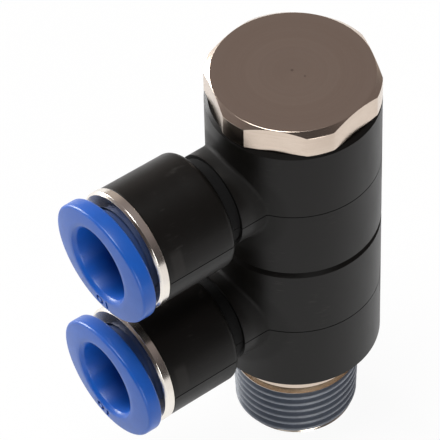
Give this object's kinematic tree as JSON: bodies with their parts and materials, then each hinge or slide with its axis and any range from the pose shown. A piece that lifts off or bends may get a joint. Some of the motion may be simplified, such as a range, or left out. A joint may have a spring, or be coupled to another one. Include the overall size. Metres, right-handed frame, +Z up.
{
  "type": "double swivel push-in fitting",
  "caption": "Push-in manifold fitting: banjo bodies stacked on a hollow hexagon bolt with a taper thread, each with a tube port that swivels round the bolt and has a release ring.",
  "frame": {"origin": "centre of the bolt's end face at the thread, where the fitting enters the port it is screwed into", "axes": "+Z up the bolt towards the hexagon head; both tube ports point along -Y at rest; X across the ports"},
  "size_m": [0.0226, 0.0424, 0.0617],
  "materials": {
    "plated_brass": "turned and nickel plated",
    "nylon": "black moulded, satin",
    "guide_metal": "turned and nickel plated",
    "release_plastic": "blue moulded, satin gloss",
    "spring_steel": "stamped spring strip",
    "inner_plastic": "natural moulded",
    "seal_rubber": "smooth rubber"
  },
  "bodies": {
    "stem": {"banjo_bolt": "plated_brass", "retaining_ring": "spring_steel", "upper_top_o_ring": "seal_rubber", "upper_bottom_o_ring": "seal_rubber", "lower_top_o_ring": "seal_rubber", "lower_bottom_o_ring": "seal_rubber"},
    "upper_swivel": {"upper_body": "nylon", "upper_guide_ring": "guide_metal", "upper_lock_claw": "spring_steel", "upper_back_ring": "inner_plastic", "upper_tube_seal": "seal_rubber"},
    "upper_collet": {"upper_release_ring": "release_plastic"},
    "lower_swivel": {"lower_body": "nylon", "lower_guide_ring": "guide_metal", "lower_lock_claw": "spring_steel", "lower_back_ring": "inner_plastic", "lower_tube_seal": "seal_rubber"},
    "lower_collet": {"lower_release_ring": "release_plastic"}
  },
  "joints": [
    {"name": "upper_turn", "type": "hinge", "parent": "stem", "child": "upper_swivel", "pos_m": [0, 0, 0.04685], "axis": [0, 0, 1], "continuous": true},
    {"name": "upper_release", "type": "slide", "parent": "upper_swivel", "child": "upper_collet", "axis": [0, 1, 0], "range_m": [0, 0.0011], "stiffness_N_per_m": 600},
    {"name": "lower_turn", "type": "hinge", "parent": "stem", "child": "lower_swivel", "pos_m": [0, 0, 0.02485], "axis": [0, 0, 1], "continuous": true},
    {"name": "lower_release", "type": "slide", "parent": "lower_swivel", "child": "lower_collet", "axis": [0, 1, 0], "range_m": [0, 0.0011], "stiffness_N_per_m": 600}
  ]
}
